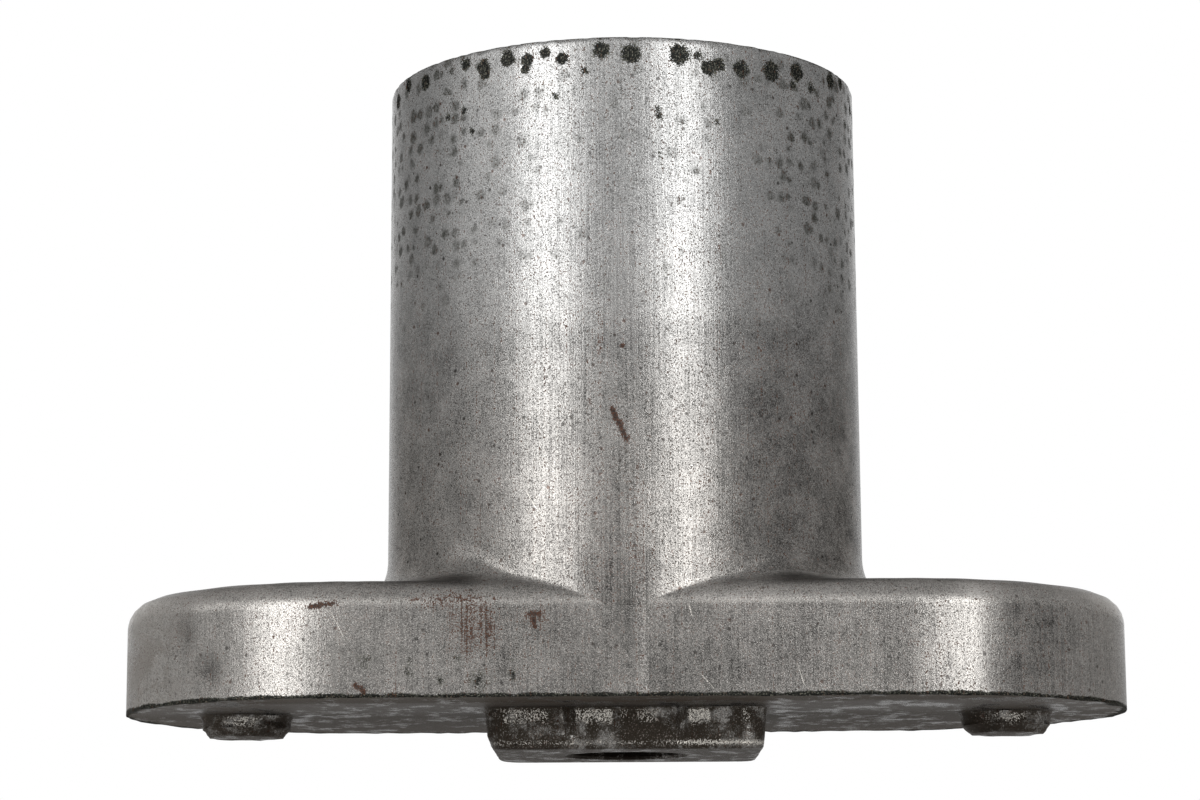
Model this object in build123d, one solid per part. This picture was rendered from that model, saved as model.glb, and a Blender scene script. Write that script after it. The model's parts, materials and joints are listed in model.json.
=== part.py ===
from build123d import *
import os

# Mower blade adapter: one pressed and sintered steel piece that slides onto the engine's
# crankshaft and carries the cutting blade. Millimetres, +Z up along the shaft axis, with the
# origin at the centre of the pilot boss's flat bottom.

# Driving dimensions: hub
HUB_BASE_D = 42.0        # where the hub runs down to the blade seat
HUB_TOP_D = 41.65        # slight draft, so that the pressing leaves its die
HUB_HEIGHT = 55.6        # blade seat to hub rim
HUB_FLARE = 3.2          # radius of the flare where the hub stands on the flange ends

# Driving dimensions: flange
FLANGE_LENGTH = 87.5
HUB_PROUD = 0.1          # how far the hub stands out of each long side of the flange
FLANGE_THICKNESS = 9.75
FLANGE_EDGE_RADIUS = 2.4  # round along the top edge; the bottom edge is sharp

# Driving dimensions: crankshaft bore with its keyway, and the blade bolt's hole
CRANKSHAFT_D = 22.2
BORE_CLEARANCE = 0.08    # on the diameter
BORE_MOUTH_CHAMFER = 1.0
KEY_WIDTH = 4.76
KEY_CLEARANCE = 0.06     # on the width
KEYWAY_DEPTH = 2.4       # beyond the bore's wall
WEB_THICKNESS = 13.2     # metal left between the bore's floor and the boss's bottom
BOLT_D = 9.5
BOLT_CLEARANCE = 0.8     # on the diameter

# Driving dimensions: pilot boss that fills the blade's centre hole
BOSS_LENGTH = 24.2       # at the blade seat
BOSS_WIDTH = 19.6
BOSS_HEIGHT = 3.6
BOSS_DRAFT = 5.0         # degrees, narrowing downwards
BOSS_CORNER_RADIUS = 2.0
BOSS_EDGE_RADIUS = 0.5
FLUTE_SPACING = 9.6      # between the two shallow flutes on each long side of the boss
FLUTE_WIDTH = 1.2
FLUTE_DEPTH = 0.45

# Driving dimensions: drive pins that enter the blade's two outer holes
PIN_D = 7.9
PIN_SPACING = 66.7
PIN_HEIGHT = 1.9
PIN_CHAMFER = 0.7

# Levels and sizes that follow
SEAT_Z = BOSS_HEIGHT
FLANGE_TOP_Z = SEAT_Z + FLANGE_THICKNESS
RIM_Z = SEAT_Z + HUB_HEIGHT
FLANGE_WIDTH = HUB_BASE_D - 2 * HUB_PROUD
BORE_D = CRANKSHAFT_D + BORE_CLEARANCE
KEYWAY_WIDTH = KEY_WIDTH + KEY_CLEARANCE
BOLT_HOLE_D = BOLT_D + BOLT_CLEARANCE

# How round shapes sit on the point they are placed at
STAND = (Align.CENTER, Align.CENTER, Align.MIN)
HANG = (Align.CENTER, Align.CENTER, Align.MAX)


def make_hub():
    """Drafted round hub from the blade seat up to its rim."""
    return Pos(0, 0, SEAT_Z) * Cone(HUB_BASE_D / 2, HUB_TOP_D / 2, HUB_HEIGHT, align=STAND)


def make_flange():
    """Oblong plate with full-round ends, rounded along its top edge only."""
    outline = SlotOverall(FLANGE_LENGTH, FLANGE_WIDTH)
    plate = extrude(Pos(0, 0, SEAT_Z) * outline, FLANGE_THICKNESS)
    top_edges = plate.faces().sort_by(Axis.Z)[-1].edges()
    return fillet(top_edges, FLANGE_EDGE_RADIUS)


def make_flare():
    """Concave flare at the hub's foot: full over the flange's ends, run out at its long sides."""
    hub_slope = (HUB_BASE_D - HUB_TOP_D) / 2 / HUB_HEIGHT
    hub_radius = HUB_BASE_D / 2 - hub_slope * FLANGE_THICKNESS
    foot_radius = hub_radius + HUB_FLARE
    foot_half_width = FLANGE_WIDTH / 2 - FLANGE_EDGE_RADIUS
    with BuildPart() as flare:
        with BuildSketch(Plane.XZ):
            with BuildLine():
                Line((0, FLANGE_TOP_Z), (foot_radius, FLANGE_TOP_Z))
                RadiusArc((foot_radius, FLANGE_TOP_Z), (hub_radius, FLANGE_TOP_Z + HUB_FLARE), HUB_FLARE)
                Line((hub_radius, FLANGE_TOP_Z + HUB_FLARE), (0, FLANGE_TOP_Z + HUB_FLARE))
                Line((0, FLANGE_TOP_Z + HUB_FLARE), (0, FLANGE_TOP_Z))
            make_face()
        revolve(axis=Axis.Z)
    return scale(flare.part, by=(1, foot_half_width / foot_radius, 1))


def make_boss():
    """Pilot boss: a drafted bar with two flutes on each long side that run out near its bottom."""
    outline = Pos(0, 0, SEAT_Z) * RectangleRounded(BOSS_LENGTH, BOSS_WIDTH, BOSS_CORNER_RADIUS)
    bar = extrude(outline, -BOSS_HEIGHT, taper=BOSS_DRAFT)
    bar = fillet(bar.faces().sort_by(Axis.Z)[0].edges(), BOSS_EDGE_RADIUS)
    flute_radius = (FLUTE_WIDTH ** 2 / 4 + FLUTE_DEPTH ** 2) / (2 * FLUTE_DEPTH)
    flute_y = BOSS_WIDTH / 2 + flute_radius - FLUTE_DEPTH
    flute = Cylinder(flute_radius, BOSS_HEIGHT, align=STAND)
    return bar - GridLocations(FLUTE_SPACING, 2 * flute_y, 2, 2) * flute


def make_pins():
    """Two short drive pins under the flange, chamfered at their lower ends."""
    pin = Cylinder(PIN_D / 2, PIN_HEIGHT, align=HANG)
    pin = chamfer(pin.edges().group_by(Axis.Z)[0], PIN_CHAMFER)
    return Pos(0, 0, SEAT_Z) * GridLocations(PIN_SPACING, 1, 2, 1) * pin


def make_bore():
    """Space for the crankshaft: blind bore, chamfered mouth and a keyway along its whole depth."""
    depth = RIM_Z - WEB_THICKNESS
    floor = Pos(0, 0, WEB_THICKNESS)
    bore = floor * Cylinder(BORE_D / 2, depth, align=STAND)
    mouth = Cone(BORE_D / 2, BORE_D / 2 + BORE_MOUTH_CHAMFER, BORE_MOUTH_CHAMFER, align=STAND)
    mouth = Pos(0, 0, RIM_Z - BORE_MOUTH_CHAMFER) * mouth
    keyway_align = (Align.CENTER, Align.MIN, Align.MIN)
    keyway = floor * Box(KEYWAY_WIDTH, BORE_D / 2 + KEYWAY_DEPTH, depth, align=keyway_align)
    return bore + mouth + keyway


def make_bolt_hole():
    """Clearance hole for the blade bolt, through the web."""
    return Cylinder(BOLT_HOLE_D / 2, WEB_THICKNESS, align=STAND)


adapter = make_flange() + make_hub() + make_flare() + make_boss() + make_pins()
adapter = adapter - make_bore() - make_bolt_hole()

os.makedirs("parts", exist_ok=True)
export_step(adapter, "parts/blade_adapter.step")
print("volume mm3", round(adapter.volume, 1), "solids", len(adapter.solids()), "valid", adapter.is_valid)
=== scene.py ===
# %% [markdown]
# # A worn blade adapter of sintered steel
# The real object is one piece of iron powder, pressed in a die and baked until the grains fuse.
# A lawn mower's crankshaft slides into its hub, and the cutting blade is bolted under its flange.
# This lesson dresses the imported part: the exact solid gives the sizes, and a finer skin of the
# same form carries the corrosion pits, dents and burrs that years under a mower leave behind.

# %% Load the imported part
import bpy
import json
import math
import numpy as np
from mathutils import Matrix, Vector
from mathutils.geometry import delaunay_2d_cdt


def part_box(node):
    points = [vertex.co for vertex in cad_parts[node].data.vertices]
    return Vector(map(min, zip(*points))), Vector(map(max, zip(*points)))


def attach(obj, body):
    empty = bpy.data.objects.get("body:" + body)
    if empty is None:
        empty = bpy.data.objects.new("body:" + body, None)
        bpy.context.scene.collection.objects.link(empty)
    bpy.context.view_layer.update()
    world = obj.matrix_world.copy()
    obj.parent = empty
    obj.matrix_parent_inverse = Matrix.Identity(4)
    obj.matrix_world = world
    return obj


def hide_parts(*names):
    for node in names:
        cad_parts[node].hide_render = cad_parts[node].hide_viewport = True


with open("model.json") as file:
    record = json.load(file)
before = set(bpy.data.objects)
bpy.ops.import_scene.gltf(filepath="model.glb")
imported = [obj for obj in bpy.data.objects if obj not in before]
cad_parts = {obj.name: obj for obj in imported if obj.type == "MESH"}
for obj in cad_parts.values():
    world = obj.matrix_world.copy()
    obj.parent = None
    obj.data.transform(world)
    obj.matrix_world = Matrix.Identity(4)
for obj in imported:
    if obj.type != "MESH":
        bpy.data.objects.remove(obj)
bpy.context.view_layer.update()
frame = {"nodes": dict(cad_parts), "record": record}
print("packed nodes:", sorted(frame["nodes"]))

# %% [markdown]
# ## Sizes
# Everything below is thought out in millimetres and turned to metres once, when a mesh is made.
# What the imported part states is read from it: its box, and the radii and places of its bore,
# bolt hole, drive pins and blade seat. Only the sizes that no mount holds are written here.

# %% Sizes of the adapter
MM = 0.001
ADAPTER = "blade_adapter"
high_corner = np.array(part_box(ADAPTER)[1]) / MM
mounts = {mount["name"]: mount for mount in frame["record"]["mounts"]}

RIM_Z = high_corner[2]
FLANGE_HALF_LENGTH = high_corner[0]
HUB_BASE_R = high_corner[1]
SEAT_Z = mounts["blade_seat"]["pos_m"][2] / MM
BORE_R = mounts["crankshaft_bore"]["dims"]["r_mm"]
BORE_LENGTH = mounts["crankshaft_bore"]["dims"]["length_mm"]
BOLT_HOLE_R = mounts["blade_bolt_hole"]["dims"]["r_mm"]
WEB_Z = mounts["blade_bolt_hole"]["dims"]["length_mm"]
PIN_R = mounts["drive_pins"]["dims"]["stud_r_mm"]
PIN_X = mounts["drive_pins"]["dims"]["spacing_x_mm"] / 2

HUB_TOP_R = 20.825
FLANGE_HALF_WIDTH = 20.9
FLANGE_TOP_Z = SEAT_Z + 9.75
FLANGE_EDGE_R = 2.4
HUB_FLARE = 3.2
BORE_CHAMFER = 1.0
KEYWAY_HALF_WIDTH = 2.41
KEYWAY_DEPTH = 2.4
BOSS_HALF_LENGTH = 12.1
BOSS_HALF_WIDTH = 9.8
BOSS_DRAFT = 5.0
BOSS_CORNER_R = 2.0
BOSS_EDGE_R = 0.5
FLUTE_X = 4.8
FLUTE_HALF_WIDTH = 0.6
FLUTE_DEPTH = 0.45
PIN_HEIGHT = 1.9
PIN_CHAMFER = 0.7
print("hub rim at", round(RIM_Z, 2), "mm, blade seat at", round(SEAT_Z, 2), "mm")

# %% [markdown]
# ## Camera
# The photograph was taken with a long lens from slightly below, so that the flange's underside
# just shows. A camera fitted to the outlines gives the place and the angles used here. Aiming it
# by angles, and not by a target point, keeps the photograph's small roll.

# %% Camera at the photograph's place
PHOTO_WIDTH_PX = 1200
FOCAL_LENGTH_PX = 3188.0
CAMERA_MM = (0.0, -280.8, -17.7)
CAMERA_PITCH = 9.98
CAMERA_TURN = 0.437
CAMERA_ROLL = -0.295

camera_data = bpy.data.cameras.new("photo_camera")
camera_data.sensor_width = 36.0
camera_data.lens = FOCAL_LENGTH_PX * camera_data.sensor_width / PHOTO_WIDTH_PX
camera_data.clip_start = 10 * MM
camera = bpy.data.objects.new("photo_camera", camera_data)
bpy.context.scene.collection.objects.link(camera)
aim = Matrix.Rotation(math.radians(CAMERA_TURN), 4, "Z")
aim = aim @ Matrix.Rotation(math.radians(90 + CAMERA_PITCH), 4, "X")
aim = aim @ Matrix.Rotation(math.radians(CAMERA_ROLL), 4, "Z")
camera.matrix_world = Matrix.Translation(Vector(CAMERA_MM) * MM) @ aim
bpy.context.scene.camera = camera
print("lens", round(camera_data.lens, 1), "mm")

# %% [markdown]
# ## Colours and nodes
# Colours are written as sRGB hex, as a colour picker shows them, and one function turns them into
# the linear values that the shader wants. One small function adds any node, sets it and links it.

# %% Helpers for colours and nodes
def colour(hex_code):
    """Linear red, green, blue and alpha of an sRGB hex colour."""
    srgb = [int(hex_code[i:i + 2], 16) / 255 for i in (1, 3, 5)]
    linear = [c / 12.92 if c <= 0.04045 else ((c + 0.055) / 1.055) ** 2.4 for c in srgb]
    return (*linear, 1.0)


def add(tree, kind, inputs=(), give=0, **settings):
    """Adds a node with its settings and links, and gives one of its outputs, or all of them for None."""
    made = tree.nodes.new("ShaderNode" + kind)
    for name, value in settings.items():
        setattr(made, name, value)
    for socket, value in dict(inputs).items():
        if isinstance(value, bpy.types.NodeSocket):
            tree.links.new(value, made.inputs[socket])
        else:
            made.inputs[socket].default_value = value
    return made.outputs if give is None else made.outputs[give]


# %% [markdown]
# ## Studio
# A plain pale floor carries the adapter on its boss, and a white surround closes the picture. The
# camera looks up from below the floor's level, so the floor shows only its upper side and is clear
# from underneath. It is left out of reflections too, or the underside would mirror its own shadow.
# Away from the part it clears up as well, so that only the soft shadow is left of it. The surround
# is white to the camera and to reflections, and gentler as a light.

# %% Surround and floor
SURROUND_LIGHT = 0.6
FLOOR_HALF_SIZE = 600.0
FLOOR_FADE_FROM = 120.0

world = bpy.data.worlds.new("white_surround")
bpy.context.scene.world = world
world.use_nodes = True
tree = world.node_tree
tree.nodes.clear()
path = add(tree, "LightPath", give=None)
seen = path["Is Camera Ray"]
for ray in ("Is Glossy Ray", "Is Transmission Ray"):
    seen = add(tree, "Math", {0: seen, 1: path[ray]}, operation="MAXIMUM")
glow = add(tree, "Background", {"Color": colour("#ffffff"), "Strength": SURROUND_LIGHT})
white = add(tree, "Background", {"Color": colour("#ffffff"), "Strength": 1.0})
surround = add(tree, "MixShader", {0: seen, 1: glow, 2: white})
add(tree, "OutputWorld", {"Surface": surround}, give=None)

floor_paint = bpy.data.materials.new("matt_white_floor_paint")
floor_paint.use_nodes = True
tree = floor_paint.node_tree
tree.nodes.clear()
paint = add(tree, "BsdfDiffuse", {"Color": colour("#f4f4f2")})
clear = add(tree, "BsdfTransparent")
from_below = add(tree, "NewGeometry", give="Backfacing")
floor_place = add(tree, "TexCoord", give="Object")
from_part = add(tree, "VectorMath", {0: floor_place}, give="Value", operation="LENGTH")
fading = {"Value": from_part, "From Min": FLOOR_FADE_FROM * MM, "From Max": FLOOR_HALF_SIZE * MM}
faded = add(tree, "MapRange", fading, interpolation_type="SMOOTHSTEP")
unseen = add(tree, "Math", {0: from_below, 1: faded}, operation="MAXIMUM")
shadow_floor = add(tree, "MixShader", {0: unseen, 1: paint, 2: clear})
add(tree, "OutputMaterial", {"Surface": shadow_floor}, give=None)

floor_mesh = bpy.data.meshes.new("studio_floor")
corners = [(-1, -1, 0), (1, -1, 0), (1, 1, 0), (-1, 1, 0)]
floor_mesh.from_pydata([Vector(c) * FLOOR_HALF_SIZE * MM for c in corners], [], [(0, 1, 2, 3)])
floor_mesh.materials.append(floor_paint)
floor = bpy.data.objects.new("studio_floor", floor_mesh)
bpy.context.scene.collection.objects.link(floor)
floor.visible_glossy = False
print("floor and surround made")

# %% [markdown]
# ## Lamps
# Polished round metal shows its lamps as upright bands. The photograph has two bright bands with a
# darker gap between them: a softbox on either side of the camera. Weaker ones in front and high on
# the left fill in, and two faint ones behind light the edges of the silhouette. A softbox is a
# rectangle of even light, so each lamp is given by where it stands round the part and by how bright
# its face looks.

# %% Softboxes
def softbox(name, azimuth, elevation, distance, width, height, brightness):
    """A rectangular lamp aimed at the hub. Azimuth 0 stands at the camera, 90 on the +X side."""
    lamp = bpy.data.lights.new(name, "AREA")
    lamp.shape = "RECTANGLE"
    lamp.size = width * MM
    lamp.size_y = height * MM
    lamp.energy = brightness * math.pi * lamp.size * lamp.size_y
    turn = math.radians(azimuth)
    rise = math.radians(elevation)
    towards = Vector((math.sin(turn) * math.cos(rise), -math.cos(turn) * math.cos(rise), math.sin(rise)))
    made = bpy.data.objects.new(name, lamp)
    made.location = Vector((0, 0, RIM_Z / 2)) * MM + towards * distance * MM
    made.rotation_mode = "QUATERNION"
    made.rotation_quaternion = towards.to_track_quat("Z", "Y")
    bpy.context.scene.collection.objects.link(made)


# Name, azimuth and elevation in degrees, distance, width and height in millimetres, brightness.
SOFTBOXES = [
    ("softbox_left", -36.5, 13, 700, 270, 420, 6.7),
    ("softbox_right", 28.5, 13, 700, 240, 420, 7.0),
    ("softbox_front", -4, 25, 700, 320, 220, 1.6),
    ("softbox_high_left", -72, 23, 700, 300, 250, 1.7),
    ("softbox_back_left", -150, 20, 900, 500, 500, 1.5),
    ("softbox_back_right", 150, 20, 900, 500, 500, 1.4),
]
for softbox_row in SOFTBOXES:
    softbox(*softbox_row)
bpy.context.scene.view_settings.view_transform = "Standard"

# %% [markdown]
# ## Skin of the part
# The outside of the adapter can be walked round its axis: along every direction there is one
# profile that runs down the hub, over the flare and the flange's top, round its edge and down its
# side. So the skin is built from rings of points, each bridged to the next by a band of quads.
# That keeps the edges crisp and puts the points where detail is needed, near the rim.

# %% Rings and bands
points = []
faces = []


def ring(xyz):
    """Adds a closed ring of points, counter-clockwise from above, and returns their numbers."""
    first = sum(len(part) for part in points)
    points.append(np.asarray(xyz, float))
    return np.arange(first, first + len(xyz))


def bridge(before, after):
    """A band of quads between two rings, facing outwards when it is walked downwards."""
    turned = np.roll(np.arange(len(before)), -1)
    faces.extend(np.stack([before, after, after[turned], before[turned]], axis=1).tolist())


def chain(rings):
    """Bridges a list of rings one after the other and returns the last."""
    for before, after in zip(rings, rings[1:]):
        bridge(before, after)
    return rings[-1]


# %% [markdown]
# ## Hub and flange outside
# The flange's outline is an oblong with full-round ends, and its top edge is rounded, so along each
# direction its reach is known for every height. Where the rounded edge runs into the hub lies a
# crease. The pressing's crease is soft, so the two shapes are joined with a smooth minimum of their
# distances, wide over the flange's ends and run out to nothing where hub and flange lie flush.

# %% Reach of the hub and of the flange along every direction
COLUMNS = 640
turn = np.linspace(0, 2 * np.pi, COLUMNS, endpoint=False)
cos_turn, sin_turn = np.cos(turn), np.sin(turn)
STRAIGHT = FLANGE_HALF_LENGTH - FLANGE_HALF_WIDTH


def hub_radius(z):
    """The hub's radius at a height, with its slight draft."""
    return HUB_BASE_R + (HUB_TOP_R - HUB_BASE_R) * (z - SEAT_Z) / (RIM_Z - SEAT_Z)


def oblong_radius(half_width):
    """How far an oblong of this half width, inside the flange's, reaches along every column."""
    side = half_width / np.maximum(np.abs(sin_turn), 1e-9)
    spare = np.maximum(half_width ** 2 - (STRAIGHT * sin_turn) ** 2, 0)
    end = STRAIGHT * np.abs(cos_turn) + np.sqrt(spare)
    return np.where(side * np.abs(cos_turn) <= STRAIGHT, side, end)


def edge_round(angle):
    """Reach and height of the rounded top edge, from 0 at the side to a right angle at the top."""
    reach = oblong_radius(FLANGE_HALF_WIDTH - FLANGE_EDGE_R * (1 - np.cos(angle)))
    height = FLANGE_TOP_Z - FLANGE_EDGE_R * (1 - np.sin(angle)) + 0 * reach
    return reach, height


tries = np.linspace(0, np.pi / 2, 361)[:, None]
try_reach, try_height = edge_round(tries)
clear_of_hub = (try_reach > hub_radius(try_height)).sum(axis=0)
crease_angle = tries[np.maximum(clear_of_hub - 1, 0), 0]
crease_z = FLANGE_TOP_Z - FLANGE_EDGE_R * (1 - np.sin(crease_angle))
print("crease from", round(crease_z.min(), 2), "to", round(crease_z.max(), 2), "mm high")

# %% Rows of the outside, from the rim down to the blade seat
RIM_ZONE = 6.0
FOOT_ZONE = 6.0
LEDGE = 0.4
RIM_COUNT = 23
MIDDLE_COUNT = 36
FOOT_COUNT = 16
ROUND_COUNT = 25
SHOULDER_COUNT = 28
WALL_COUNT = 18


def smooth(value, low, high):
    """0 up to low, 1 from high on, and a soft step between."""
    share = np.clip((value - low) / (high - low), 0, 1)
    return share * share * (3 - 2 * share)


def dense_ends(count, share=0.9):
    """Shares from 0 to 1 that lie closer together towards both ends."""
    even = np.linspace(0, 1, count)
    return even - share * np.sin(2 * np.pi * even) / (2 * np.pi)


hub_depth = RIM_Z - crease_z
rim_rows = np.linspace(0, RIM_ZONE, RIM_COUNT)[:, None] + 0 * hub_depth
middle_shares = np.linspace(0, 1, MIDDLE_COUNT)[1:-1, None]
middle_rows = middle_shares * (hub_depth - RIM_ZONE - FOOT_ZONE) + RIM_ZONE
foot_rows = np.linspace(FOOT_ZONE, 0, FOOT_COUNT)[:, None] * -1 + hub_depth
hub_z = RIM_Z - np.concatenate([rim_rows, middle_rows, foot_rows])
hub_r = hub_radius(hub_z)

round_angle = crease_angle * np.linspace(1, 0, ROUND_COUNT)[:, None]
round_r, round_z = edge_round(round_angle)
ledge_z = np.full((1, COLUMNS), FLANGE_TOP_Z - FLANGE_EDGE_R - LEDGE)
side_r = np.maximum(oblong_radius(FLANGE_HALF_WIDTH), hub_radius(ledge_z))
line_r = np.concatenate([hub_r[-1:], round_r, side_r])
line_z = np.concatenate([hub_z[-1:], round_z, ledge_z])
steps = np.hypot(np.diff(line_r, axis=0), np.diff(line_z, axis=0))
along = np.concatenate([np.zeros((1, COLUMNS)), np.cumsum(steps, axis=0)])
wanted = dense_ends(SHOULDER_COUNT)[1:, None] * along[-1]
columns = range(COLUMNS)
shoulder_r = np.stack([np.interp(wanted[:, c], along[:, c], line_r[:, c]) for c in columns], axis=1)
shoulder_z = np.stack([np.interp(wanted[:, c], along[:, c], line_z[:, c]) for c in columns], axis=1)

wall_z = SEAT_Z + (ledge_z - SEAT_Z) * (1 - dense_ends(WALL_COUNT, 0.7)[1:, None])
wall_r = np.maximum(oblong_radius(FLANGE_HALF_WIDTH), hub_radius(wall_z))
outside_r = np.concatenate([hub_r, shoulder_r, wall_r])
outside_z = np.concatenate([hub_z, shoulder_z, wall_z])
print("outside rows", outside_r.shape[0], "of", COLUMNS, "points")

# %% Soften the crease between hub and flange
SOFT_FLARE = 1.2 * HUB_FLARE
SOFT_CREASE = 0.8
flush = np.cos(crease_angle) * np.abs(sin_turn)
over_ends = smooth(np.abs(cos_turn), 0.42, 0.64)
soft_reach = (SOFT_CREASE + (SOFT_FLARE - SOFT_CREASE) * over_ends) * (1 - flush)


def soft_gap(r, z):
    """Signed distance to hub and flange joined with a smooth minimum."""
    to_hub = r - hub_radius(z)
    past_end = np.maximum(np.abs(r * cos_turn) - STRAIGHT, 0)
    inset = np.hypot(past_end, r * sin_turn) - FLANGE_HALF_WIDTH + FLANGE_EDGE_R
    rise = z - FLANGE_TOP_Z + FLANGE_EDGE_R
    corner = np.hypot(np.maximum(inset, 0), np.maximum(rise, 0))
    to_flange = corner + np.minimum(np.maximum(inset, rise), 0) - FLANGE_EDGE_R
    above = np.clip(rise / FLANGE_EDGE_R + 0.5, 0, 1)
    reach = np.maximum(soft_reach * above, 1e-3)
    overlap = np.maximum(reach - np.abs(to_hub - to_flange), 0) / reach
    return np.minimum(to_hub, to_flange) - overlap ** 2 * reach / 4


NUDGE = 1e-3
SETTLING_ROUNDS = 8
for _ in range(SETTLING_ROUNDS):
    gap = soft_gap(outside_r, outside_z)
    change_r = soft_gap(outside_r + NUDGE, outside_z) - soft_gap(outside_r - NUDGE, outside_z)
    change_z = soft_gap(outside_r, outside_z + NUDGE) - soft_gap(outside_r, outside_z - NUDGE)
    slope_r = change_r / (2 * NUDGE)
    slope_z = change_z / (2 * NUDGE)
    step = gap / (slope_r ** 2 + slope_z ** 2 + 1e-9)
    step[0] = 0
    step[-1] = 0
    outside_r = outside_r - slope_r * step
    outside_z = outside_z - slope_z * step
print("crease softened over", round(soft_reach.max(), 2), "mm at most")

# %% [markdown]
# ## Wear that changes the shape
# Rust has eaten round pits into the hub, most of them in a row just under the rim. Those that the
# photograph shows are listed: degrees round from the camera, millimetres under the rim, and
# diameter; faint ones are shallower. The side that the photograph doesn't show gets a seeded scatter
# of the same kind. The flange's end has dents, and its lower edge the ragged burr of the die's parting.

# %% Pits under the rim
PIT_DEPTH = 0.06
SEEN_PITS = [
    (-72.8, 1.5, 1.3), (-64.5, 0.8, 1.2), (-55.4, 1.35, 1.3), (-40.1, 0.9, 1.0), (-34.6, 1.5, 1.2),
    (-34.2, 2.1, 1.0), (-27.8, 1.1, 1.3), (-22.7, 1.5, 1.05), (-23.2, 2.3, 0.75), (-18.2, 1.05, 0.9),
    (-14.0, 1.7, 1.0), (-4.8, 1.1, 1.3), (2.1, 1.5, 1.5), (13.5, 1.4, 1.65), (20.7, 2.4, 1.2),
    (23.3, 2.0, 1.1), (29.2, 2.1, 1.35), (38.0, 1.85, 1.65), (46.5, 1.3, 1.5), (61.3, 1.0, 1.3),
    (67.8, 0.6, 1.0),
]
FAINT_PITS = [
    (-46.0, 5.2, 0.9), (-40.5, 5.0, 0.9), (-15.6, 4.9, 0.9), (8.4, 6.2, 0.8), (8.6, 7.2, 0.9),
    (9.0, 10.5, 1.1), (22.6, 7.2, 0.9), (32.6, 9.3, 0.8), (36.9, 10.0, 0.8), (-38.0, 7.0, 0.8),
    (18.0, 1.4, 1.0), (45.0, 2.6, 1.2), (52.0, 2.4, 1.3), (-8.6, 2.9, 0.8),
]
FAINT = 0.68
chance = np.random.default_rng(41)
hidden_turns = np.arange(76.0, 284.0, 6.5)
hidden_turns = hidden_turns + chance.uniform(-2.2, 2.2, hidden_turns.size)
hidden_depths = chance.uniform(0.8, 2.4, hidden_turns.size)
hidden_widths = chance.uniform(0.8, 1.7, hidden_turns.size)
pits = [(*pit, 1.0) for pit in SEEN_PITS] + [(*pit, FAINT) for pit in FAINT_PITS]
pits += [(*pit, 1.0) for pit in zip(hidden_turns, hidden_depths, hidden_widths)]


def pit_field(x, y, z):
    """1 in the middle of a pit, 0 at its edge and less outside, on the hub's upper wall."""
    around = np.degrees(np.arctan2(x, -y))
    field = np.full(np.shape(z), -1.0)
    for place, depth, width, strength in pits:
        off = (around - place + 180) % 360 - 180
        away = np.hypot(np.radians(off) * HUB_TOP_R, RIM_Z - depth - z)
        field = np.maximum(field, strength * (2 - away / (width / 2)) - 1)
    on_wall = np.hypot(x, y) > HUB_TOP_R - 0.6
    return np.where(on_wall, field, -1.0)


def outside_points():
    """The outside's rows as x, y and z."""
    return outside_r * cos_turn, outside_r * sin_turn, outside_z


x, y, z = outside_points()
hollow = np.clip(pit_field(x, y, z) * 1.6, 0, 1)
outside_r = outside_r - PIT_DEPTH * hollow * hollow * (3 - 2 * hollow)
print("pits:", len(pits))

# %% Dents in the flange, nicks in the rim and the burr
# Middle in X and Z, half width, half height and depth of each dent.
DENTS = [(-37.0, 9.2, 1.1, 2.2, 0.24), (-34.7, 6.0, 1.1, 1.6, 0.24)]
BURR_DROP = 0.16
NICK_DEPTH = 0.04
RIM_BREAK = 0.08


def ragged(count, waves, seed):
    """A closed line of seeded random waves from 0 to 1, with this many waves round it."""
    knots = np.random.default_rng(seed).uniform(0, 1, waves)
    place = np.linspace(0, waves, count, endpoint=False)
    return np.interp(place, np.arange(waves + 1), np.append(knots, knots[0]))


def oval(middle_x, middle_z, half_width, half_height):
    """How far every point lies from an oval's middle, seen from the front: 1 on its edge."""
    return np.hypot((x - middle_x) / half_width, (z - middle_z) / half_height)


x, y, z = outside_points()
on_front = (y < 0) & (outside_z < FLANGE_TOP_Z)
for *dent_oval, dent_depth in DENTS:
    away = oval(*dent_oval)
    outside_r = outside_r - dent_depth * np.exp(-2 * away ** 2) * on_front
fine_burr = 0.5 * ragged(COLUMNS, waves=90, seed=5) + 0.5 * ragged(COLUMNS, waves=260, seed=6)
outside_z[-1] = outside_z[-1] - BURR_DROP * fine_burr ** 1.5
rim_nicks = np.clip(ragged(COLUMNS, waves=213, seed=7) - 0.5, 0, 1) / 0.5
outside_z[0] = outside_z[0] - NICK_DEPTH * rim_nicks
outside_r[0] = outside_r[0] - RIM_BREAK - NICK_DEPTH * rim_nicks
x, y, z = outside_points()
outside_rings = [ring(np.stack(row, axis=1)) for row in zip(x, y, z)]
rim_ring = outside_rings[0]
seat_ring = chain(outside_rings)
print("outside points", len(outside_rings) * COLUMNS)

# %% [markdown]
# ## Boss and pins
# Under the flange stand a pilot boss, which centres the blade, and two short pins, which drive it.
# The boss is a drafted bar with two shallow flutes on each long side, which run out where the draft
# has drawn its wall in. Each is a stack of rings again, and its foot meets the seat with a small round.

# %% Pilot boss
# The round at a foot, in shares of its size: how far out of the wall, and how far below the seat.
ROOT = 0.35
ROOT_STEPS = [(1.8, 0.0), (1.0, 0.0), (0.35, 0.3), (0.0, 1.0)]
BOSS_ROUGHNESS = 0.07
CORNER_CHIP = 0.2
CHIP_LENGTH = 1.6
CHIP_TOP_Z = 1.3


def spread(start, end, spacing):
    """Evenly spaced values from start up to, but without, end."""
    count = max(int(abs(end - start) / spacing), 2)
    return np.linspace(start, end, count, endpoint=False)


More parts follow.
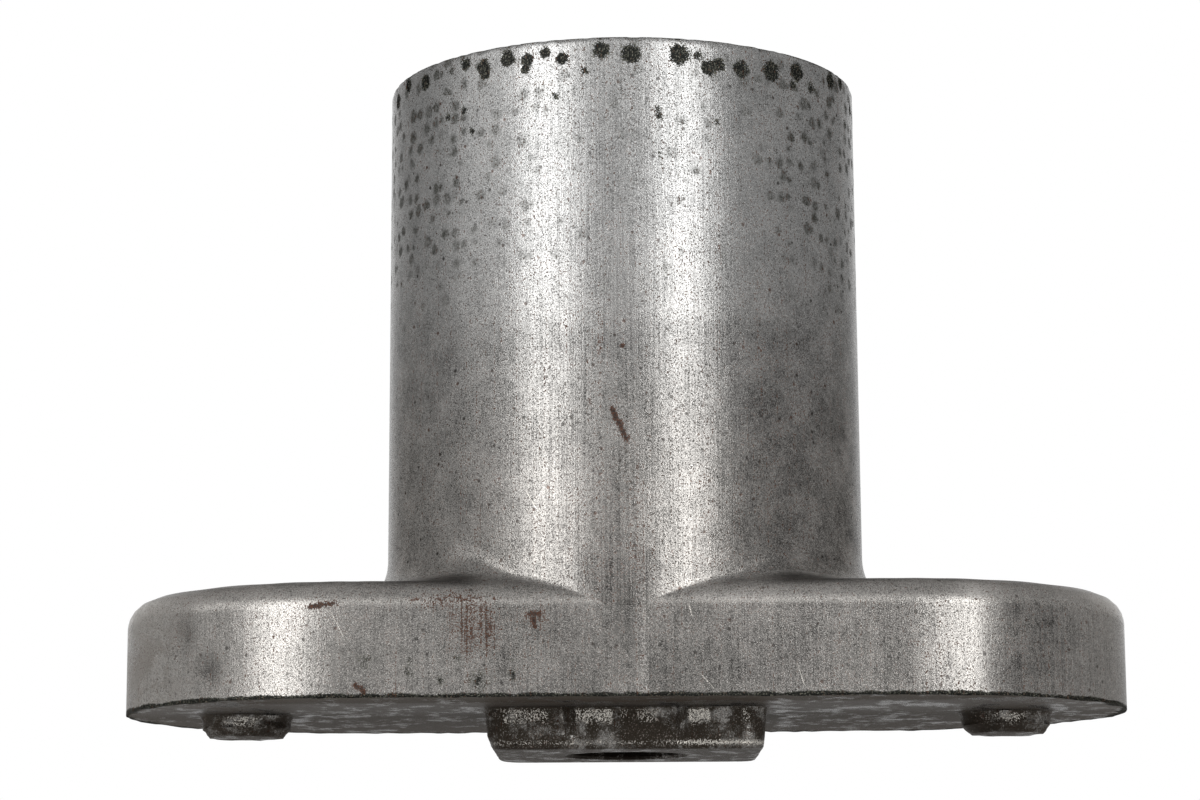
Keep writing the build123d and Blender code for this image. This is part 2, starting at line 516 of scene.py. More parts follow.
def boss_outline(inset):
    """The boss's outline, drawn in by a distance, counter-clockwise."""
    corner_r = max(BOSS_CORNER_R - inset, 0.2)
    flat_x = BOSS_HALF_LENGTH - BOSS_CORNER_R
    flat_y = BOSS_HALF_WIDTH - BOSS_CORNER_R
    reach_x = flat_x + BOSS_CORNER_R - inset
    reach_y = flat_y + BOSS_CORNER_R - inset
    centre_x = reach_x - corner_r
    centre_y = reach_y - corner_r
    along_x = spread(-1, 1, 0.02)
    along_y = spread(-1, 1, 0.05)
    long_y = np.full(along_x.size, -reach_y)
    for place in (-FLUTE_X, FLUTE_X):
        flute = 1 - ((along_x * flat_x - place) / FLUTE_HALF_WIDTH) ** 2
        long_y = np.maximum(long_y, FLUTE_DEPTH * flute - BOSS_HALF_WIDTH)
    bend = np.radians(spread(0, 90, 9))
    front = np.stack([along_x * centre_x, long_y], axis=1)
    front_bend = np.stack([centre_x + corner_r * np.sin(bend), -centre_y - corner_r * np.cos(bend)], axis=1)
    right = np.stack([np.full(along_y.size, reach_x), along_y * centre_y], axis=1)
    right_bend = np.stack([centre_x + corner_r * np.cos(bend), centre_y + corner_r * np.sin(bend)], axis=1)
    half = np.concatenate([front, front_bend, right, right_bend])
    return np.concatenate([half, -half])


def at_height(outline, z):
    """An outline lifted to a height, or to one height for each point."""
    return np.column_stack([outline, np.broadcast_to(z, len(outline))])


draft = math.tan(math.radians(BOSS_DRAFT))
boss_rows = [(ROOT * (draft * down - out), SEAT_Z - ROOT * down) for out, down in ROOT_STEPS]
boss_rows += [(draft * (SEAT_Z - z), z) for z in np.linspace(SEAT_Z - ROOT, BOSS_EDGE_R, 8)[1:]]
for angle in np.radians([18, 36, 54, 72, 90]):
    inset = draft * (SEAT_Z - BOSS_EDGE_R) + BOSS_EDGE_R * (1 - np.cos(angle))
    boss_rows.append((inset, BOSS_EDGE_R * (1 - np.sin(angle))))
boss_rings = []
for row, (inset, z) in enumerate(boss_rows):
    outline = boss_outline(inset)
    rough = ragged(len(outline), waves=110, seed=60 + row) * (row >= len(ROOT_STEPS))
    at_left_end = np.exp(-((outline[:, 0] + BOSS_HALF_LENGTH) / CHIP_LENGTH) ** 2)
    chip = at_left_end * smooth(CHIP_TOP_Z - z, 0, 1)
    squeeze = 1 - (BOSS_ROUGHNESS * rough + CORNER_CHIP * chip) / BOSS_HALF_WIDTH
    boss_rings.append(ring(at_height(outline * squeeze[:, None], z + 0.5 * CORNER_CHIP * chip)))
boss_bottom = chain(boss_rings)
print("boss points", len(boss_rings) * len(boss_bottom))

# %% Drive pins
PIN_POINTS = 72
PIN_CHIP = 0.2


def unit_circle(count):
    """Points round a circle of radius 1, counter-clockwise."""
    angle = np.linspace(0, 2 * np.pi, count, endpoint=False)
    return np.stack([np.cos(angle), np.sin(angle)], axis=1)


pin_circle = unit_circle(PIN_POINTS)
pin_end_z = SEAT_Z - PIN_HEIGHT
pin_rows = [(PIN_R + ROOT * out, SEAT_Z - ROOT * down) for out, down in ROOT_STEPS]
pin_rows += [(PIN_R, pin_end_z + PIN_CHAMFER + lift) for lift in (0.5, 0.25, 0.0)]
pin_rows += [(PIN_R - PIN_CHAMFER * cut, pin_end_z + PIN_CHAMFER * (1 - cut)) for cut in (0.35, 0.7, 1.0)]
pin_feet = []
pin_ends = []
for side, seed in ((-1, 21), (1, 22)):
    rings = []
    for row, (radius, z) in enumerate(pin_rows):
        below_root = row >= len(ROOT_STEPS)
        chipped = PIN_CHIP * ragged(PIN_POINTS, waves=24, seed=seed + 10 * row) * below_root
        circle = pin_circle * (radius - chipped)[:, None] + (side * PIN_X, 0)
        rings.append(ring(at_height(circle, z + 0.4 * chipped)))
    pin_feet.append(rings[0])
    pin_ends.append(chain(rings))
print("pins:", len(pin_ends))

# %% [markdown]
# ## Holes
# The bolt's hole runs up through the web, and the crankshaft's bore runs from there to the rim, with
# a keyway down one side and a chamfered mouth. Walked upwards, the same bands face inwards.

# %% Bolt hole and crankshaft bore
HOLE_POINTS = 96
BOLT_HOLE_BREAK = 0.25
hole_circle = unit_circle(HOLE_POINTS)
hole_rows = [(BOLT_HOLE_R + BOLT_HOLE_BREAK, 0.0), (BOLT_HOLE_R, BOLT_HOLE_BREAK)]
hole_rows += [(BOLT_HOLE_R, z) for z in np.linspace(BOLT_HOLE_BREAK, WEB_Z, 6)[1:]]
hole_rings = [ring(at_height(hole_circle * radius, z)) for radius, z in hole_rows]
hole_bottom = hole_rings[0]
hole_top = chain(hole_rings)


def bore_outline(radius):
    """A circle with the keyway's notch on its +Y side, counter-clockwise."""
    half_gap = math.asin(KEYWAY_HALF_WIDTH / radius)
    arc = np.linspace(np.pi / 2 + half_gap, 2.5 * np.pi - half_gap, 150)
    circle = radius * np.stack([np.cos(arc), np.sin(arc)], axis=1)
    mouth_y = circle[-1, 1]
    key_y = BORE_R + KEYWAY_DEPTH
    climb = np.linspace(mouth_y, key_y, 7)[1:]
    cross = np.linspace(KEYWAY_HALF_WIDTH, -KEYWAY_HALF_WIDTH, 13)[1:]
    right = np.stack([np.full(climb.size, KEYWAY_HALF_WIDTH), climb], axis=1)
    top = np.stack([cross, np.full(cross.size, key_y)], axis=1)
    left = np.stack([np.full(climb.size - 1, -KEYWAY_HALF_WIDTH), climb[-2::-1]], axis=1)
    return np.concatenate([circle, right, top, left])


bore_rows = [(BORE_R, z) for z in np.linspace(WEB_Z, WEB_Z + BORE_LENGTH, 24)]
bore_rows.append((BORE_R + BORE_CHAMFER, RIM_Z))
bore_rings = [ring(at_height(bore_outline(radius), z)) for radius, z in bore_rows]
bore_floor = bore_rings[0]
bore_mouth = chain(bore_rings)
print("bore points", len(bore_rings) * len(bore_mouth))

# %% [markdown]
# ## Flat faces
# Rings of different counts, with holes between them, can't be bridged. Each flat face is closed by
# a constrained Delaunay triangulation instead: it keeps every ring's edges, takes in a scatter of
# inner points, and the triangles that lie outside the face or in its holes are dropped.

# %% Fill the flat faces
def inside(spots, loop):
    """Which of these points lie inside a closed loop."""
    px, py = spots[:, 0, None], spots[:, 1, None]
    x0, y0 = loop[:, 0], loop[:, 1]
    x1, y1 = np.roll(x0, -1), np.roll(y0, -1)
    crossing = (y0 > py) != (y1 > py)
    rise = np.where(y1 == y0, 1e-12, y1 - y0)
    return (crossing & (px < (x1 - x0) * (py - y0) / rise + x0)).sum(axis=1) % 2 == 1


def fill(outer, holes, height, spacing, facing_up):
    """Closes the flat face between an outer ring and the rings of its holes."""
    placed = np.concatenate(points)
    rings = [outer, *holes]
    loops = [placed[numbers][:, :2] for numbers in rings]
    edge_points = np.concatenate(loops)
    low, high = edge_points.min(axis=0), edge_points.max(axis=0)
    grid_x, grid_y = np.meshgrid(np.arange(low[0], high[0], spacing), np.arange(low[1], high[1], spacing))
    grid = np.stack([grid_x.ravel(), grid_y.ravel()], axis=1)
    grid = grid + np.random.default_rng(3).uniform(-0.3, 0.3, grid.shape) * spacing
    nearest = np.min(np.hypot(*(grid[:, None] - edge_points[None]).transpose(2, 0, 1)), axis=1)
    wanted = inside(grid, loops[0]) & (nearest > 0.6 * spacing)
    for loop in loops[1:]:
        wanted &= ~inside(grid, loop)
    inner = ring(at_height(grid[wanted], height))
    numbers = np.concatenate([*rings, inner])
    flat = np.concatenate([edge_points, grid[wanted]])
    edges = []
    first = 0
    for loop in loops:
        count = len(loop)
        edges += [(first + i, first + (i + 1) % count) for i in range(count)]
        first += count
    found, _, triangles, origin, _, _ = delaunay_2d_cdt([Vector(p) for p in flat], edges, [], 0, 1e-7)
    centres = np.array([np.mean([found[i] for i in t], axis=0) for t in triangles])
    kept = inside(centres, loops[0])
    for loop in loops[1:]:
        kept &= ~inside(centres, loop)
    for triangle, keep in zip(triangles, kept):
        if keep:
            corners = [int(numbers[origin[i][0]]) for i in triangle]
            faces.append(corners if facing_up else corners[::-1])


fill(seat_ring, [boss_rings[0], *pin_feet], SEAT_Z, spacing=1.1, facing_up=False)
fill(boss_bottom, [hole_bottom], 0.0, spacing=0.7, facing_up=False)
for end in pin_ends:
    fill(end, [], pin_end_z, spacing=0.6, facing_up=False)
fill(bore_floor, [hole_top], WEB_Z, spacing=1.0, facing_up=True)
fill(rim_ring, [bore_mouth], RIM_Z, spacing=0.8, facing_up=True)
print("faces so far", len(faces))

# %% The adapter's skin as one mesh
SHARP_EDGE = 38
skin_points = np.concatenate(points)
skin_mesh = bpy.data.meshes.new("adapter_skin")
skin_mesh.from_pydata((skin_points * MM).tolist(), [], faces)
skin_mesh.validate()
skin_mesh.shade_smooth()
skin_mesh.set_sharp_from_angle(angle=math.radians(SHARP_EDGE))
skin = bpy.data.objects.new("adapter_skin", skin_mesh)
bpy.context.scene.collection.objects.link(skin)
triangle_count = sum(len(face) - 2 for face in faces)
print("triangles", triangle_count)

# %% [markdown]
# ## Marks for the finish
# Rust, dirt and corrosion sit where water and grass reached the metal, and the edges that rubbed on
# the blade are worn bright. Each kind is a number on every point of the skin, worked out from where
# the point lies. What the photograph shows on the flange's front and on the boss is placed one by one.
# Other numbers say where the metal is matt, how strongly its pores and drag lines show, and where
# its colour is fresh. Some numbers paint light and shade: highlights on the flange's front and top edge,
# on the boss and on the pins, and shade in the dents, at the hub's foot and, with dirt, under the flange.
# The shader breaks the soft fields up with noise, so their edges come out ragged.

# %% Where the parts of the skin lie
x, y, z = skin_points.T
reach = np.hypot(x, y)
around = np.degrees(np.arctan2(x, -y))
under_rim = RIM_Z - z
numbers = np.arange(len(x))
on_outside = np.isin(numbers, np.concatenate(outside_rings))
on_hub = np.isin(numbers, np.concatenate(outside_rings[:len(hub_r)]))
on_flange_side = on_outside & ~on_hub & (z > SEAT_Z + 0.01)
on_boss = (reach > BOLT_HOLE_R + 1) & (np.abs(x) < BOSS_HALF_LENGTH + ROOT) & (z < SEAT_Z - 0.05)
on_pins = (np.abs(x) > PIN_X - PIN_R - ROOT) & (z < SEAT_Z - BURR_DROP - 0.05)
print("points on the hub", on_hub.sum(), "on the boss", on_boss.sum(), "on the pins", on_pins.sum())

# %% Corrosion, spots, tarnish, and painted light and shade
WEAR_LINE_Z = 35.4
# Middle in X and Z, diameter and strength of each pit.
FLANGE_PITS = [
    (-21.3, 6.45, 1.7, 0.58), (-17.7, 6.4, 1.0, 0.60), (-17.75, 5.5, 1.2, 0.58), (-15.1, 4.9, 0.8, 0.7),
    (-12.0, 4.8, 2.4, 0.54), (-9.25, 5.3, 1.1, 0.60), (-9.35, 6.5, 0.8, 0.56), (-13.7, 6.6, 1.3, 0.52),
]
# Darkening of the flange's front along X; below nothing it is brighter: painted highlights and lit ends.
FLANGE_DARKENING_AND_HIGHLIGHTS = [
    (-44, -1.8), (-41, -1.8), (-38, -0.9), (-33, 0.0), (-30, -0.1), (-27, 0.0), (-24, 0.2), (-14, 0.35),
    (-8, 0.6), (0, 0.75), (20, 0.7), (24, 0.75), (26, 0.8), (27.3, 0.2), (28.6, -0.9), (30, 0.2),
    (32, 1.0), (35, 1.0), (38, 0.5), (41, -0.4), (44, -1.4),
]
PLAIN_FLANGE_DARKENING = 0.35
side_facing = smooth(np.abs(around), 26, 48)
spot_mark = on_hub * (1 - smooth(under_rim, 13, 27)) * (0.3 + 0.4 * side_facing)

below_line = 0.35 * smooth(WEAR_LINE_Z - z, 0, 0.9) * (1 - smooth(np.abs(around), 35, 60))
low_down = smooth(WEAR_LINE_Z + 10 - z, 0, 18)
right_side = smooth(around, 20, 40) * (0.1 + 0.6 * low_down) + 0.1 * smooth(around, 45, 65)
left_side = smooth(-around, 20, 60) * 0.4 * low_down
round_low = FLANGE_TOP_Z - FLANGE_EDGE_R
below_top = 1 - smooth(z, FLANGE_TOP_Z - 0.8, FLANGE_TOP_Z)
painted_edge_highlight = on_outside * smooth(z, round_low, round_low + 0.6) * below_top
crease_run = smooth(np.abs(x), 4, 7) * (1 - 0.7 * smooth(np.abs(x), 10.5, 14))
matt_mark = on_flange_side * crease_run * smooth(z, round_low, FLANGE_TOP_Z - 1)
on_front_wall = (1 - smooth(y, 0, 8)) * (1 - smooth(z, FLANGE_TOP_Z - 1, FLANGE_TOP_Z))
seen_flange_darkening_and_highlights = np.interp(x, *np.transpose(FLANGE_DARKENING_AND_HIGHLIGHTS))
flange_darkening_and_highlights = PLAIN_FLANGE_DARKENING + (seen_flange_darkening_and_highlights - PLAIN_FLANGE_DARKENING) * on_front_wall
# Painted shade on a narrow strip at the hub's foot, where X is near nothing.
painted_foot_shade = 0.75 * (1 - smooth(np.abs(x + 0.5), 2.7, 3.4)) * (1 - smooth(z, 13.8, 17.5))
hub_tarnish_and_shade = below_line + 0.15 * low_down + right_side + left_side + painted_foot_shade
# Tarnish here also carries painted shade and, below nothing, painted highlights.
tarnish_and_painted_light_mark = on_hub * hub_tarnish_and_shade + on_flange_side * flange_darkening_and_highlights
# A painted highlight along the flange's rounded top edge, stronger to the right.
tarnish_and_painted_light_mark = tarnish_and_painted_light_mark - painted_edge_highlight * (0.2 + 0.6 * smooth(x, 3, 9))
# Painted shade in each dent of the flange's front.
for *dent_oval, dent_depth in DENTS:
    away = oval(*dent_oval)
    tarnish_and_painted_light_mark = tarnish_and_painted_light_mark + 6 * dent_depth * np.exp(-away ** 2) * on_flange_side * (y < 0)

pit_mark = pit_field(x, y, z)
for pit_x, pit_z, width, strength in FLANGE_PITS:
    away = np.hypot(x - pit_x, z - pit_z) / (width / 2)
    pit_mark = np.maximum(pit_mark, np.where(on_flange_side & (y < 0), strength * (2 - away) - 1, -1.0))
rim_line = 0.5 * np.exp(-(under_rim / 0.2) ** 2) * on_outside
burr_waves = 0.8 + 0.2 * np.sin(1.7 * x + 2 * np.sin(0.6 * x))
burr_line = np.exp(-((z - SEAT_Z) / 0.32) ** 2) * on_outside * burr_waves
corroded_mark = np.clip(np.maximum.reduce([pit_mark * 0.5 + 0.5, rim_line, burr_line]), 0, 1)
print("strongly corroded points", (corroded_mark > 0.5).sum())

# %% Rust, dirt and painted shade, worn edges and painted highlights, drag lines
# Middle in X and Z, half width, half height and strength of each patch.
RUST_PATCHES = [
    (-12.5, 9.4, 2.0, 2.2, 0.62), (-14.0, 11.4, 3.0, 0.8, 0.55), (-7.4, 10.0, 0.8, 0.8, 0.4),
]
# Start and end in X and strength of each bright panel on the boss's front: painted highlights on worn
# metal.
WORN_AND_LIT_PANELS = [
    (-10.6, -6.6, 0.8), (-5.6, -5.2, 0.75), (-4.4, -1.1, 1.0), (-0.6, 0.3, 0.55), (0.9, 2.8, 0.8),
    (5.2, 7.2, 1.1), (9.8, 10.4, 0.9),
]

rust_mark = np.zeros(len(x))
for *rust_oval, strength in RUST_PATCHES:
    away = oval(*rust_oval)
    rust_mark = np.maximum(rust_mark, strength * np.clip(1.6 - away, 0, 1) * (y < 0))

in_bore = (reach < BORE_R + KEYWAY_DEPTH + 1) & (z > 1) & (z < RIM_Z - 0.5)
underneath = smooth(SEAT_Z + 0.05 - z, 0, 0.05)
end_stain = np.exp(-oval(-41, 7, 4, 5) ** 2) * on_flange_side * (1 - smooth(y, -6, 4))
# Under the flange it is darker, most along the front strip and on the boss and pins: dirt and painted
# shade.
front_strip = (1 - smooth(y, -17, -13)) * (0.6 - 0.25 * smooth(x, 5, 15))
underside_dirt_and_shade = underneath * (0.74 + front_strip + 0.2 * smooth(y, -7, 2))
underside_dirt_and_shade = np.where(on_boss | on_pins, 0.9, underside_dirt_and_shade)
dirt_and_shade_mark = np.maximum.reduce([underside_dirt_and_shade, 0.45 * in_bore, 0.5 * end_stain])

# A painted highlight down the middle of each pin, over a little wear all round.
pin_middle_highlight = np.exp(-((np.abs(x) - PIN_X) / 1.8) ** 2)
worn_and_highlight_mark = on_pins * (0.15 + 0.7 * pin_middle_highlight * smooth(z, pin_end_z + 0.4, pin_end_z + 1))
front_x = np.where(y < 0, x, -x)
for start, end, strength in WORN_AND_LIT_PANELS:
    across = smooth(front_x, start - 0.15, start + 0.15) * (1 - smooth(front_x, end - 0.15, end + 0.15))
    panel = across * smooth(z, 1.7, 2.5) * (1 - smooth(z, SEAT_Z - 0.4, SEAT_Z - 0.1))
    worn_and_highlight_mark = np.maximum(worn_and_highlight_mark, strength * panel * on_boss)
# A painted highlight along the boss's rounded lower edge, stronger on the right.
lower_edge_highlight = np.exp(-((z - 0.5) / 0.2) ** 2) * on_boss * (0.7 + 0.6 * smooth(front_x, 3, 6))
worn_and_highlight_mark = np.maximum.reduce([worn_and_highlight_mark, lower_edge_highlight, 0.31 * on_boss])

drag_mark = np.where(on_hub, 1 - 0.85 * smooth(np.abs(around), 16, 40), 0.65 * on_flange_side)
pore_mark = np.where(on_hub, 0.9 + 0.2 * side_facing, 0.85)
fresh_mark = on_hub * smooth(z, 15, 48)

marks = {"corroded": corroded_mark, "spots": spot_mark, "tarnish": tarnish_and_painted_light_mark, "rust": rust_mark,
         "grime": dirt_and_shade_mark, "worn": worn_and_highlight_mark, "drag": drag_mark, "matt": matt_mark,
         "pores": pore_mark, "fresh": fresh_mark}
for name, values in marks.items():
    layer = skin_mesh.attributes.new(name, "FLOAT", "POINT")
    layer.data.foreach_set("value", np.asarray(values, np.float32))
    print(name, "from", round(float(values.min()), 2), "to", round(float(values.max()), 2))

# %% [markdown]
# ## Sintered steel
# Pressed iron powder is a grey, open-grained metal. The die polishes its walls and drags fine upright
# lines into them; between these, pores show as dark specks, and single larger ones as dots. That
# gives the eye a satin shine broken into grain. It is a metal, so its colour is that of its
# reflection, and the default IOR stays. Dirt and rust lie on it as matt coats that are no metal; the
# dirt coat is partly painted shade, and the worn coat partly painted highlights. The real grains are
# under a tenth of a millimetre. They are drawn a little coarser, to be seen.

# %% Material: patterns in millimetres
# Size of each noise along X, Y and Z, and how much finer detail it carries.
PATTERNS = {
    "grain": ((0.08, 0.08, 0.08), 1.0),
    "specks": ((0.12, 0.12, 0.12), 0.0),
    "blots": ((0.45, 0.45, 0.45), 4.0),
    "clouds": ((3.2, 3.2, 3.2), 5.0),
    "drag lines": ((0.15, 0.15, 12.0), 2.0),
    "dirt patches": ((2.5, 4.0, 2.5), 5.0),
}
SPOT_SPACING_MM = 1.4
DOT_SPACING_MM = 1.5
DOT_RADIUS_MM = 0.2

steel = bpy.data.materials.new("sintered_steel_die_polished")
steel.use_nodes = True
tree = steel.node_tree
tree.nodes.clear()
metres = add(tree, "TexCoord", give="Object")
place = add(tree, "VectorMath", {0: metres, "Scale": 1 / MM}, operation="SCALE")
layers = {name: add(tree, "Attribute", give="Fac", attribute_name=name) for name in marks}

pattern = {}
for name, (sizes, detail) in PATTERNS.items():
    waves = tuple(1 / size for size in sizes)
    sized = add(tree, "VectorMath", {0: place, 1: waves}, operation="MULTIPLY")
    wanted = {"Vector": sized, "Scale": 1.0, "Detail": detail, "Roughness": 0.65}
    pattern[name] = add(tree, "TexNoise", wanted, give="Fac")

pattern["dots"] = add(tree, "TexVoronoi", {"Vector": place, "Scale": 1 / DOT_SPACING_MM}, give="Distance")

axes = add(tree, "SeparateXYZ", {0: place}, give=None)
towards_front = add(tree, "Math", {0: axes[1], 1: -1.0}, operation="MULTIPLY")
turned = add(tree, "Math", {0: axes[0], 1: towards_front}, operation="ARCTAN2")
wrapped = add(tree, "Math", {0: turned, 1: HUB_BASE_R}, operation="MULTIPLY")
unrolled = add(tree, "CombineXYZ", {0: wrapped, 1: axes[2]})
cells = add(tree, "TexVoronoi", {"Vector": unrolled, "Scale": 1 / SPOT_SPACING_MM}, give=None,
            voronoi_dimensions="2D")
cell_kind = add(tree, "SeparateColor", {"Color": cells["Color"]}, give=None)
print("patterns:", list(pattern))

# %% Material: scratches and streaks of rust
# Each stroke runs straight from one point of the front to another, in X and Z.
SCRATCHES = [
    (3.8, 42.8, 5.2, 41.6), (-8.2, 20.8, -6.9, 18.5), (-24.2, 10.7, -22.9, 8.2), (6.1, 5.4, 7.3, 4.0),
    (14.0, 6.2, 14.6, 4.2), (5.2, 11.2, 5.5, 9.9),
]
RUST_STREAKS = [
    (-1.1, 27.6, -0.5, 26.2), (-0.7, 26.7, 0.4, 24.3), (-0.1, 32.8, -0.1, 32.4),
    (-8.1, 10.3, -6.8, 10.3), (-7.6, 10.2, -7.4, 9.0), (-26.3, 10.95, -23.5, 11.35),
    (-22.3, 4.7, -21.6, 4.3), (-21.7, 4.5, -21.2, 3.8),
]
SCRATCH_HALF_WIDTH = 0.05
STREAK_HALF_WIDTH = 0.4
SCRATCH_STRENGTH = 0.6
STREAK_STRENGTH = 1.5

front_side = add(tree, "Math", {0: axes[1], 1: 0.0}, operation="LESS_THAN")


def strokes(lines, half_width, strength):
    """The strongest of some strokes: full along their middles and nothing from the half width on."""
    strongest = 0.0
    for start_x, start_z, end_x, end_z in lines:
        start = Vector((start_x, 0, start_z))
        run = Vector((end_x, 0, end_z)) - start
        sideways = Vector((-run.z, 0, run.x)).normalized()
        offset = add(tree, "VectorMath", {0: place, 1: start}, operation="SUBTRACT")
        across = add(tree, "VectorMath", {0: offset, 1: sideways}, give="Value", operation="DOT_PRODUCT")
        along = add(tree, "VectorMath", {0: offset, 1: run / run.length_squared}, give="Value",
                    operation="DOT_PRODUCT")
        from_middle = add(tree, "Math", {0: along, 1: 0.5}, operation="SUBTRACT")
        from_middle = add(tree, "Math", {0: from_middle}, operation="ABSOLUTE")
        tapered = add(tree, "MapRange", {"Value": from_middle, "From Min": 0.55, "From Max": 0.3})
        across = add(tree, "Math", {0: across}, operation="ABSOLUTE")
        fall = {"Value": across, "From Min": half_width, "From Max": 0.0, "To Max": strength}
        line = add(tree, "MapRange", fall)
        line = add(tree, "Math", {0: line, 1: tapered}, operation="MULTIPLY")
        strongest = add(tree, "Math", {0: line, 1: strongest}, operation="MAXIMUM")
    return add(tree, "Math", {0: strongest, 1: front_side}, operation="MULTIPLY")


mask = {"scratches": strokes(SCRATCHES, SCRATCH_HALF_WIDTH, SCRATCH_STRENGTH)}
streaks = strokes(RUST_STREAKS, STREAK_HALF_WIDTH, STREAK_STRENGTH)
layers["rust"] = add(tree, "Math", {0: layers["rust"], 1: streaks}, operation="MAXIMUM")
print("strokes:", len(SCRATCHES) + len(RUST_STREAKS))

# %% Material: masks of the marks
# Each mask is its layer, broken up by shares of noise about its middle, then stepped softly between
# two levels up to a strength.
MASKS = {
    "corroded": ({"blots": 0.6, "specks": 0.5}, 0.36, 0.48, 0.96),
    "rust": ({"blots": 1.8, "specks": 1.4, "drag lines": 2.4}, 0.30, 0.90, 0.88),
    "worn": ({"blots": 1.0, "specks": 3.0}, 0.70, 1.20, 1.0),
    "grime": ({"dirt patches": 6.0, "blots": 1.6, "specks": 1.4}, 0.0, 1.0, 1.0),
}
for name, (shares, low, high, strength) in MASKS.items():
    level = add(tree, "Math", {0: layers[name], 1: sum(shares.values()) / 2}, operation="SUBTRACT")
    for broken, share in shares.items():
        level = add(tree, "Math", {0: pattern[broken], 1: share, 2: level}, operation="MULTIPLY_ADD")
    step = {"Value": level, "From Min": low, "From Max": high, "To Max": strength}
    mask[name] = add(tree, "MapRange", step, interpolation_type="SMOOTHSTEP")
mask["grime"] = add(tree, "Math", {0: mask["grime"], 1: layers["grime"]}, operation="MINIMUM")
# Dirt and painted shade are cleared under wear and painted highlights.
clean_under_bright_marks = add(tree, "Math", {0: 1.0, 1: mask["worn"]}, operation="SUBTRACT")
mask["grime"] = add(tree, "Math", {0: mask["grime"], 1: clean_under_bright_marks}, operation="MULTIPLY")

mask["pores"] = 0.0
dot_edge = DOT_RADIUS_MM / DOT_SPACING_MM
for name, low, high in (("specks", 0.64, 0.74), ("dots", dot_edge, 0.5 * dot_edge)):
    step = {"Value": pattern[name], "From Min": low, "From Max": high, "To Max": 0.8}
    hole = add(tree, "MapRange", step)
    mask["pores"] = add(tree, "Math", {0: hole, 1: mask["pores"]}, operation="MAXIMUM")
mask["pores"] = add(tree, "Math", {0: mask["pores"], 1: layers["pores"]}, operation="MULTIPLY")

# A spot fills the middle of its cell on the unrolled wall; size, chance and depth differ by cell.
SPOT_SIZE = -1.08
SPOT_SIZE_SPREAD = 0.25
size = {0: cell_kind[0], 1: SPOT_SIZE_SPREAD, 2: SPOT_SIZE}
size = add(tree, "Math", size, operation="MULTIPLY_ADD")
for broken, share in ((pattern["blots"], 1.1), (pattern["grain"], 0.9), (cells["Distance"], -1.0)):
    size = add(tree, "Math", {0: broken, 1: share, 2: size}, operation="MULTIPLY_ADD")
disc = add(tree, "MapRange", {"Value": size, "From Min": -0.32, "From Max": -0.08},
           interpolation_type="SMOOTHSTEP")
paler_middle = add(tree, "MapRange", {"Value": size, "From Min": 0.0, "From Max": 0.2, "To Max": 0.45})
disc = add(tree, "Math", {0: disc, 1: paler_middle}, operation="SUBTRACT")
odds = add(tree, "Math", {0: layers["spots"], 1: cell_kind[1]}, operation="SUBTRACT")
present = add(tree, "MapRange", {"Value": odds, "From Min": 0.0, "From Max": 0.15})
depth = add(tree, "Math", {0: cell_kind[2], 1: 0.2}, operation="MULTIPLY")
depth = add(tree, "Math", {0: layers["spots"], 1: 0.95, 2: depth}, operation="MULTIPLY_ADD")
uneven = add(tree, "Math", {0: pattern["specks"], 1: 0.9, 2: -0.4}, operation="MULTIPLY_ADD")
depth = add(tree, "Math", {0: depth, 1: uneven}, operation="ADD", use_clamp=True)
shown = add(tree, "Math", {0: disc, 1: present}, operation="MULTIPLY")
mask["spots"] = add(tree, "Math", {0: shown, 1: depth}, operation="MULTIPLY")
print("masks:", list(mask))

# %% Material: colour
# Noise lies about one half, so half of each share is taken off again to keep the tone's middle.
TONE = 0.52
TONE_SHARES = {"grain": 1.4, "blots": 0.4, "clouds": 0.35}
# Tarnish, with its painted shade and highlights, and dirt, partly painted shade, shift the tone.
LAYER_SHARES = {"tarnish": -0.22, "grime": -0.2}
LAYERED_SHARES = [("drag lines", "drag", 0.75), ("clouds", "tarnish", 0.3)]

tone = TONE - sum(TONE_SHARES.values()) / 2
for name, share in TONE_SHARES.items():
    tone = add(tree, "Math", {0: pattern[name], 1: share, 2: tone}, operation="MULTIPLY_ADD")
for name, share in LAYER_SHARES.items():
    tone = add(tree, "Math", {0: layers[name], 1: share, 2: tone}, operation="MULTIPLY_ADD")
for name, layer, share in LAYERED_SHARES:
    centred = add(tree, "Math", {0: pattern[name], 1: share, 2: -share / 2}, operation="MULTIPLY_ADD")
    tone = add(tree, "Math", {0: centred, 1: layers[layer], 2: tone}, operation="MULTIPLY_ADD")
bare = add(tree, "Mix", {0: layers["fresh"], 6: colour("#a3a09c"), 7: colour("#a1a1a0")}, give=2,
           data_type="RGBA")
metal = add(tree, "Mix", {0: tone, 6: colour("#1f1e1d"), 7: bare}, give=2, data_type="RGBA")

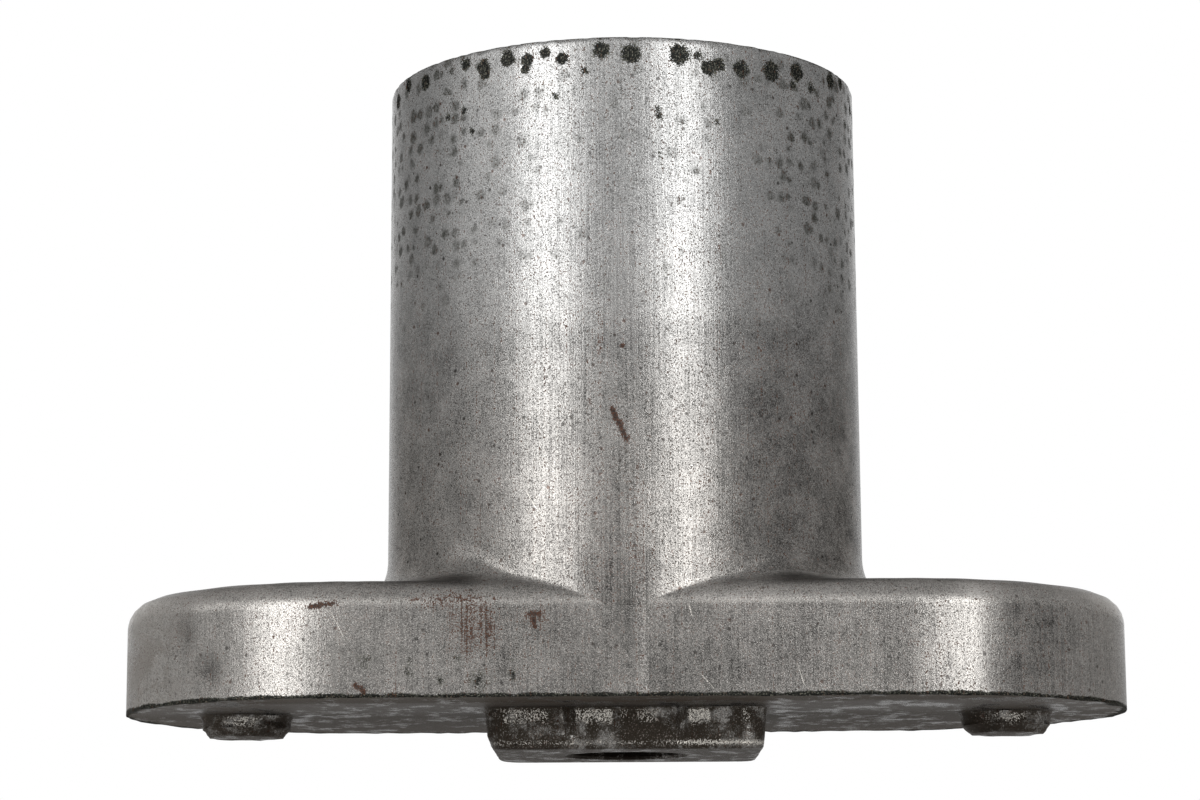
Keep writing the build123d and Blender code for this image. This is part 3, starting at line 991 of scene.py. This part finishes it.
brown_pores = add(tree, "MapRange", {"Value": pattern["clouds"], "From Min": 0.5, "From Max": 0.6})
pore_colour = add(tree, "Mix", {0: brown_pores, 6: colour("#211f1d"), 7: colour("#3f2a20")}, give=2,
                  data_type="RGBA")
crumbs = add(tree, "MapRange", {"Value": pattern["specks"], "From Min": 0.55, "From Max": 0.75})
pit_colour = add(tree, "Mix", {0: crumbs, 6: colour("#10110f"), 7: colour("#585850")}, give=2,
                 data_type="RGBA")
flakes = add(tree, "MapRange", {"Value": pattern["specks"], "From Min": 0.4, "From Max": 0.65})
rust_colour = add(tree, "Mix", {0: flakes, 6: colour("#1b100b"), 7: colour("#432a1e")}, give=2,
                  data_type="RGBA")
# The dirt coat is partly painted shade, and the worn coat partly painted highlights.
coats = [("grime", colour("#3b342c")), ("worn", colour("#aaa69f")), ("scratches", colour("#b9b5ae")),
         ("pores", pore_colour), ("spots", colour("#2c2c27")), ("corroded", pit_colour),
         ("rust", rust_colour)]
for name, coat in coats:
    metal = add(tree, "Mix", {0: mask[name], 6: metal, 7: coat}, give=2, data_type="RGBA")
print("coats:", [name for name, coat in coats])

# %% Material: shine and relief
PLAIN_ROUGHNESS = 0.14
BUMP_STRENGTH = 0.8
BUMP_HEIGHT_MM = 0.02

dull = 0.0
for name in ("corroded", "rust", "spots"):
    dull = add(tree, "Math", {0: mask[name], 1: dull}, operation="MAXIMUM")
roughness = PLAIN_ROUGHNESS
for rougher, share in ((pattern["grain"], 0.2), (dull, 0.35), (mask["grime"], 0.4),
                       (layers["matt"], 0.35)):
    roughness = add(tree, "Math", {0: rougher, 1: share, 2: roughness}, operation="MULTIPLY_ADD")
metalness = 1.0
for name, share in (("rust", -0.8), ("grime", -1.0)):
    metalness = add(tree, "Math", {0: mask[name], 1: share, 2: metalness}, operation="MULTIPLY_ADD")
relief = 0.0
for raised, share in ((pattern["grain"], 1.0), (pattern["drag lines"], 0.4), (mask["spots"], -0.8),
                      (mask["pores"], -0.8), (mask["scratches"], -0.5)):
    relief = add(tree, "Math", {0: raised, 1: share, 2: relief}, operation="MULTIPLY_ADD")
height = {"Height": relief, "Strength": BUMP_STRENGTH, "Distance": BUMP_HEIGHT_MM * MM}
bump = add(tree, "Bump", height)
surface = {"Base Color": metal, "Metallic": metalness, "Roughness": roughness, "Normal": bump,
           "Specular Tint": colour("#a2a2a2"), "Specular IOR Level": 0.04}
add(tree, "OutputMaterial", {"Surface": add(tree, "BsdfPrincipled", surface)}, give=None)
skin_mesh.materials.append(steel)
print("material nodes", len(tree.nodes))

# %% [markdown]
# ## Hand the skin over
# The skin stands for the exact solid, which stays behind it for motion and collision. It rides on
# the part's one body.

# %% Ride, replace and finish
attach(skin, "root")
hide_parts(ADAPTER)
